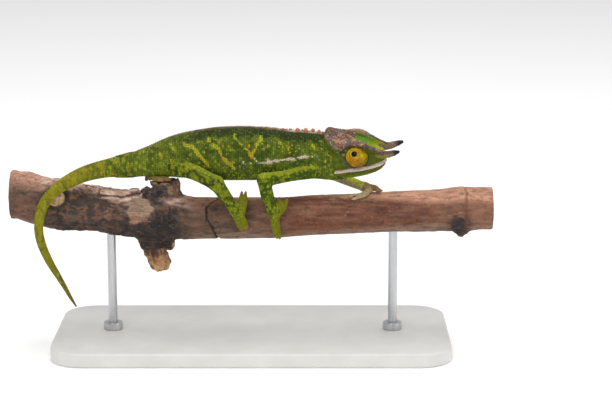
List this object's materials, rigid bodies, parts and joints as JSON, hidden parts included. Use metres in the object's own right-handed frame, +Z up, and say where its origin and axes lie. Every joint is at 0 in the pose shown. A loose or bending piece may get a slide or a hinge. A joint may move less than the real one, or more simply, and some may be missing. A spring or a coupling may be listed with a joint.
{
  "type": "chameleon model on a branch",
  "caption": "Life-size still model of a slim green chameleon with paired snout horns, walking along a cut branch that a plain display stand holds up.",
  "frame": {"origin": "middle of the underside of the display base, under the middle of the branch", "axes": "+X forwards along the branch, +Y to the animal's left, +Z up"},
  "size_m": [0.17, 0.066, 0.0785],
  "materials": {
    "skin": "green scaly skin with yellow bars and dots, a pale side stripe and fine low scales",
    "head_skin": "grey-pink scales on casque and brows, green cheeks and crown, pale lips",
    "horn": "scaly grey-brown blades with dark tips",
    "eye_lid": "golden eye turret with rings of fine granules and brown specks",
    "eyeball": "wet dark pupil with a thin golden iris ring",
    "bark": "red-brown bark, cracked and dark towards the rear, with broken spurs of bare wood",
    "stand_base": "satin pale grey powder coat",
    "stand_steel": "brushed steel"
  },
  "bodies": {
    "root": {"head": "head_skin", "jaw": "skin", "horn_right": "horn", "horn_left": "horn", "eye_right": "eye_lid", "eye_left": "eye_lid", "pupil_right": "eyeball", "pupil_left": "eyeball", "neck": "skin", "trunk": "skin", "tail_1": "skin", "tail_2": "skin", "tail_3": "skin", "tail_4": "skin", "leg_front_right_upper": "skin", "leg_front_right_lower": "skin", "leg_front_right_foot": "skin", "leg_front_right_toes_outer": "skin", "leg_front_right_toes_inner": "skin", "leg_hind_right_upper": "skin", "leg_hind_right_lower": "skin", "leg_hind_right_foot": "skin", "leg_hind_right_toes_outer": "skin", "leg_hind_right_toes_inner": "skin", "leg_front_left_upper": "skin", "leg_front_left_lower": "skin", "leg_front_left_foot": "skin", "leg_front_left_toes_outer": "skin", "leg_front_left_toes_inner": "skin", "leg_hind_left_upper": "skin", "leg_hind_left_lower": "skin", "leg_hind_left_foot": "skin", "leg_hind_left_toes_outer": "skin", "leg_hind_left_toes_inner": "skin", "perch_branch": "bark", "stand_base": "stand_base", "stand_rod_rear": "stand_steel", "stand_rod_front": "stand_steel", "stand_collar_rear": "stand_steel", "stand_collar_front": "stand_steel"}
  },
  "joints": []
}
